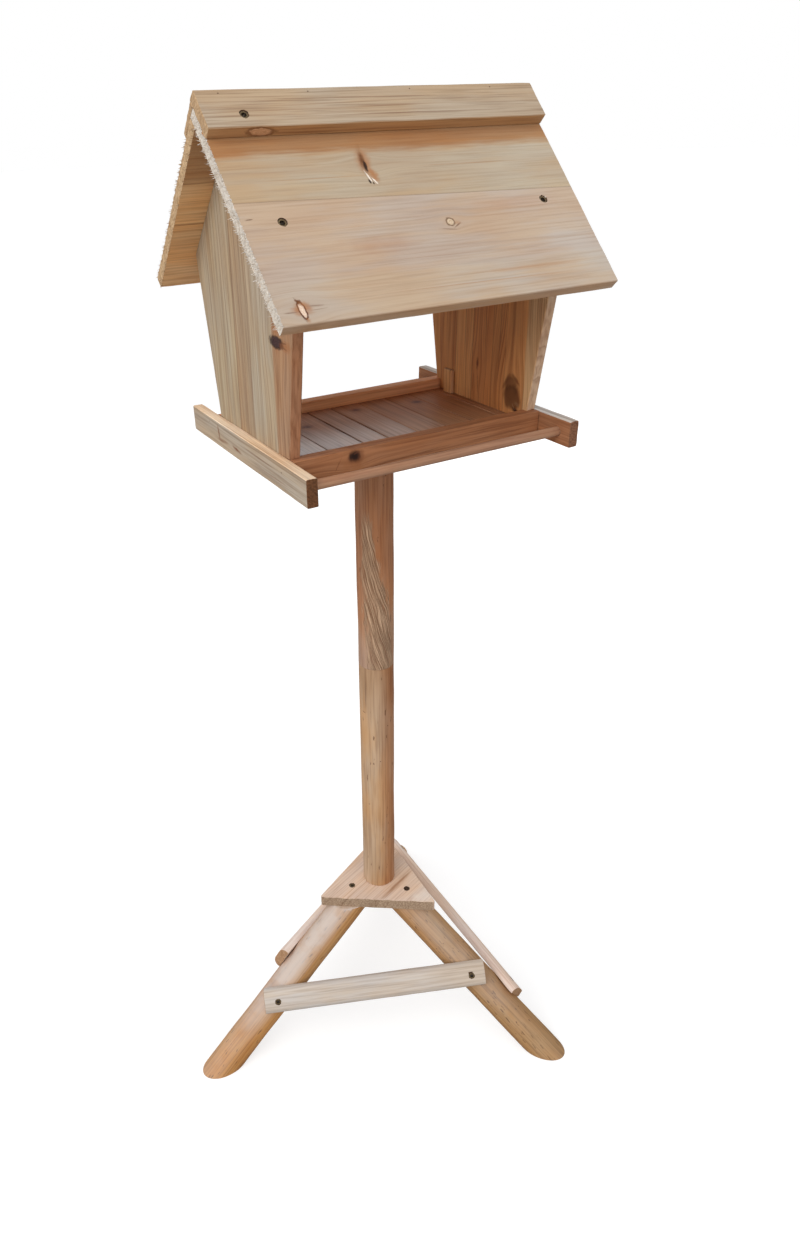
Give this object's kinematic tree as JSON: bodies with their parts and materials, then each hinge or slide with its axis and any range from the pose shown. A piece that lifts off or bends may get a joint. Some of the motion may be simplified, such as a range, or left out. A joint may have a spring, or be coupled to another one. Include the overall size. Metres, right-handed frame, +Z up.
{
  "type": "bird table",
  "caption": "Free-standing wooden bird table: an open gabled feeding tray with a perch front and rear, carried by a round post on a splayed tripod stand.",
  "frame": {"origin": "on the ground, under the middle of the whole outline", "axes": "+Z up along the post, +X along the roof ridge towards the right wall, -Y towards the front of the feeding bay"},
  "size_m": [0.497, 0.4988, 1.2266],
  "materials": {
    "roof_wood": "sawn softwood, untreated",
    "wall_wood": "planed softwood, untreated",
    "rail_wood": "planed softwood, untreated",
    "perch_wood": "sanded dowel",
    "floor_wood": "planed softwood, untreated",
    "post_wood": "peeled round pole",
    "plate_wood": "planed softwood, untreated",
    "leg_wood": "peeled round pole",
    "brace_wood": "split round pole"
  },
  "bodies": {
    "root": {"front_roof_board": "roof_wood", "rear_roof_board": "roof_wood", "front_ridge_cap": "roof_wood", "rear_ridge_cap": "roof_wood", "left_gable_wall": "wall_wood", "right_gable_wall": "wall_wood", "left_corner_block": "wall_wood", "right_corner_block": "wall_wood", "left_side_rail": "rail_wood", "right_side_rail": "rail_wood", "front_rail": "rail_wood", "rear_rail": "rail_wood", "front_perch": "perch_wood", "rear_perch": "perch_wood", "floor_board_1": "floor_wood", "floor_board_2": "floor_wood", "floor_board_3": "floor_wood", "floor_board_4": "floor_wood", "floor_board_5": "floor_wood", "floor_board_6": "floor_wood", "floor_board_7": "floor_wood", "floor_board_8": "floor_wood", "floor_board_9": "floor_wood", "floor_bearer": "floor_wood", "upper_post": "post_wood", "lower_post": "post_wood", "stand_plate": "plate_wood", "left_leg": "leg_wood", "right_leg": "leg_wood", "rear_leg": "leg_wood", "front_brace": "brace_wood", "right_brace": "brace_wood", "left_brace": "brace_wood"}
  },
  "joints": []
}
